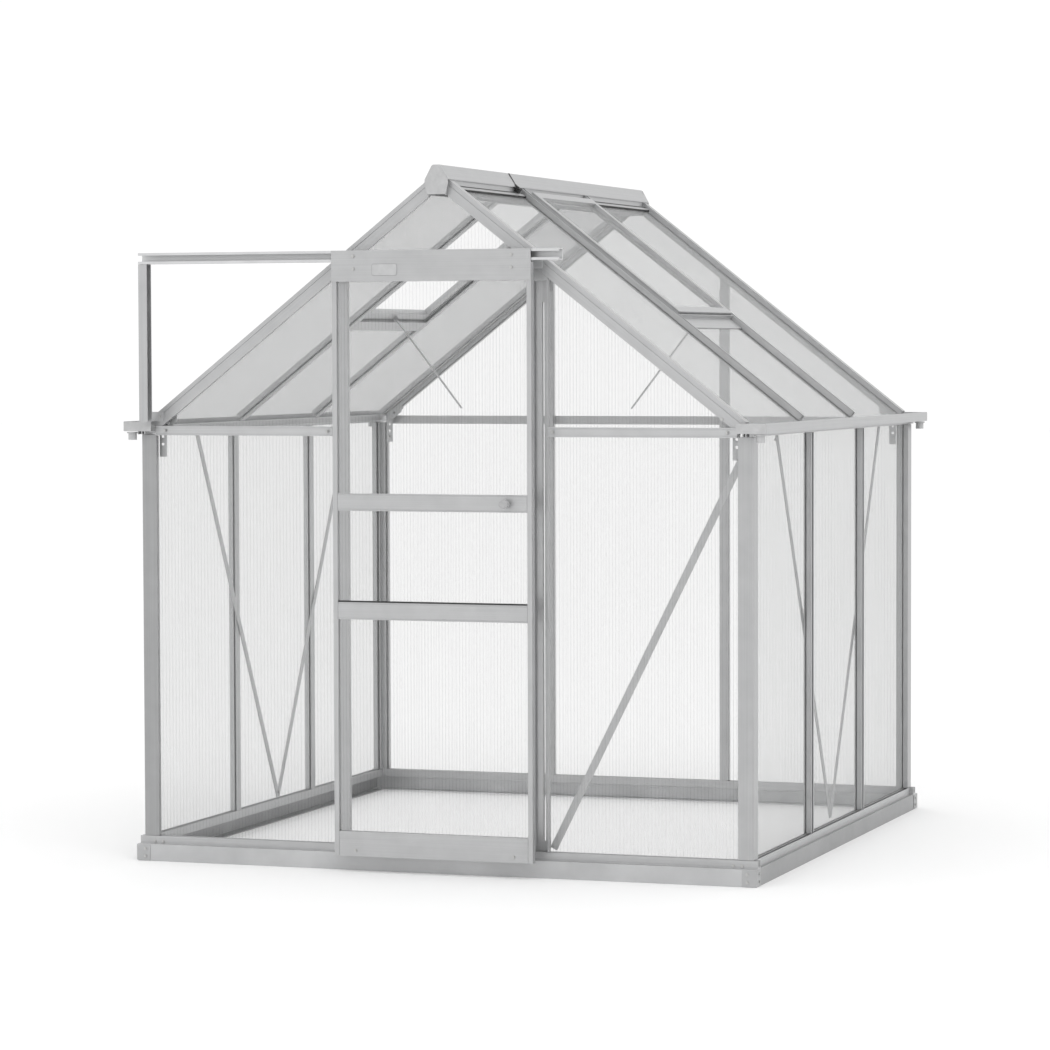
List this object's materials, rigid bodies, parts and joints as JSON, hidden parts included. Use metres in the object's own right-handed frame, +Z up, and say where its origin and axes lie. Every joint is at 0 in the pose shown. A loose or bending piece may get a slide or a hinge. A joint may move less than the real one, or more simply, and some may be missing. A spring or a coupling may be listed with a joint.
{
  "type": "walk-in greenhouse",
  "caption": "Walk-in greenhouse with an aluminium frame, translucent twin-wall glazing, a pitched roof with hinged vents, eave gutters and a sliding door hung on a rail.",
  "frame": {"origin": "middle of the footprint's bounding box on the ground", "axes": "+Z up, +Y from the door towards the back gable, +X to the right seen from the door side"},
  "size_m": [1.962, 2.045, 2.037],
  "materials": {
    "mill_aluminium": "mill finish extrusion",
    "plinth_metal": "satin grey plinth",
    "twinwall_sheet": "translucent twin-wall polycarbonate",
    "grey_plastic": "grey nylon"
  },
  "bodies": {
    "frame": {"base_front": "plinth_metal", "base_back": "plinth_metal", "base_left": "plinth_metal", "base_right": "plinth_metal", "post_front_left": "mill_aluminium", "post_front_right": "mill_aluminium", "post_back_left": "mill_aluminium", "post_back_right": "mill_aluminium", "stud_left_front": "mill_aluminium", "stud_left_back": "mill_aluminium", "stud_right_front": "mill_aluminium", "stud_right_back": "mill_aluminium", "stud_back_left": "mill_aluminium", "stud_back_right": "mill_aluminium", "jamb_left": "mill_aluminium", "jamb_right": "mill_aluminium", "gutter_left": "mill_aluminium", "gutter_right": "mill_aluminium", "tie_front_left": "mill_aluminium", "tie_front_right": "mill_aluminium", "tie_back": "mill_aluminium", "rafter_left_gable_front": "mill_aluminium", "rafter_left_gable_back": "mill_aluminium", "rafter_right_gable_front": "mill_aluminium", "rafter_right_gable_back": "mill_aluminium", "rafter_left_front": "mill_aluminium", "rafter_left_back": "mill_aluminium", "rafter_right_front": "mill_aluminium", "rafter_right_back": "mill_aluminium", "ridge": "mill_aluminium", "vent_sill_left": "mill_aluminium", "vent_sill_right": "mill_aluminium", "glazing_left": "twinwall_sheet", "glazing_right": "twinwall_sheet", "glazing_front": "twinwall_sheet", "glazing_back": "twinwall_sheet", "glazing_roof_left": "twinwall_sheet", "glazing_roof_right": "twinwall_sheet", "brace_left": "mill_aluminium", "brace_right": "mill_aluminium", "brace_front": "mill_aluminium", "rail": "mill_aluminium", "rail_post": "mill_aluminium"},
    "door": {"door_stile_left": "mill_aluminium", "door_stile_right": "mill_aluminium", "door_header": "mill_aluminium", "door_mid_rail_upper": "mill_aluminium", "door_mid_rail_lower": "mill_aluminium", "door_bottom_rail": "mill_aluminium", "door_pane": "twinwall_sheet", "door_knob": "grey_plastic"},
    "roller_left": {"roller_left": "grey_plastic"},
    "roller_right": {"roller_right": "grey_plastic"},
    "vent_left": {"vent_frame_left": "mill_aluminium", "vent_pane_left": "twinwall_sheet"},
    "vent_right": {"vent_frame_right": "mill_aluminium", "vent_pane_right": "twinwall_sheet"},
    "stay_left": {"vent_stay_left": "mill_aluminium"},
    "stay_right": {"vent_stay_right": "mill_aluminium"}
  },
  "joints": [
    {"name": "door_slide", "type": "slide", "parent": "frame", "child": "door", "axis": [1, 0, 0], "range_m": [-0.58, 0]},
    {"name": "roller_left_spin", "type": "hinge", "parent": "door", "child": "roller_left", "pos_m": [-0.231, -0.9766, 1.7743], "axis": [0, 1, 0], "continuous": true},
    {"name": "roller_right_spin", "type": "hinge", "parent": "door", "child": "roller_right", "pos_m": [0.241, -0.9766, 1.7743], "axis": [0, 1, 0], "continuous": true},
    {"name": "vent_left_hinge", "type": "hinge", "parent": "frame", "child": "vent_left", "pos_m": [-0.05072, 0.0395, 1.97772], "axis": [0, 1, 0], "range_deg": [0, 40]},
    {"name": "vent_right_hinge", "type": "hinge", "parent": "frame", "child": "vent_right", "pos_m": [0.05072, 0.0395, 1.97772], "axis": [0, -1, 0], "range_deg": [0, 40]},
    {"name": "stay_left_pivot", "type": "hinge", "parent": "vent_left", "child": "stay_left", "pos_m": [-0.49742, 0.0395, 1.60419], "axis": [0, 1, 0], "range_deg": [-40, 0]},
    {"name": "stay_right_pivot", "type": "hinge", "parent": "vent_right", "child": "stay_right", "pos_m": [0.49742, 0.0395, 1.60419], "axis": [0, -1, 0], "range_deg": [-40, 0]}
  ],
  "couplings": [
    {"joint": "roller_left_spin", "follows": "door_slide", "rad_per_m": 92.593},
    {"joint": "roller_right_spin", "follows": "door_slide", "rad_per_m": 92.593},
    {"joint": "stay_left_pivot", "follows": "vent_left_hinge", "ratio": -1},
    {"joint": "stay_right_pivot", "follows": "vent_right_hinge", "ratio": -1}
  ]
}
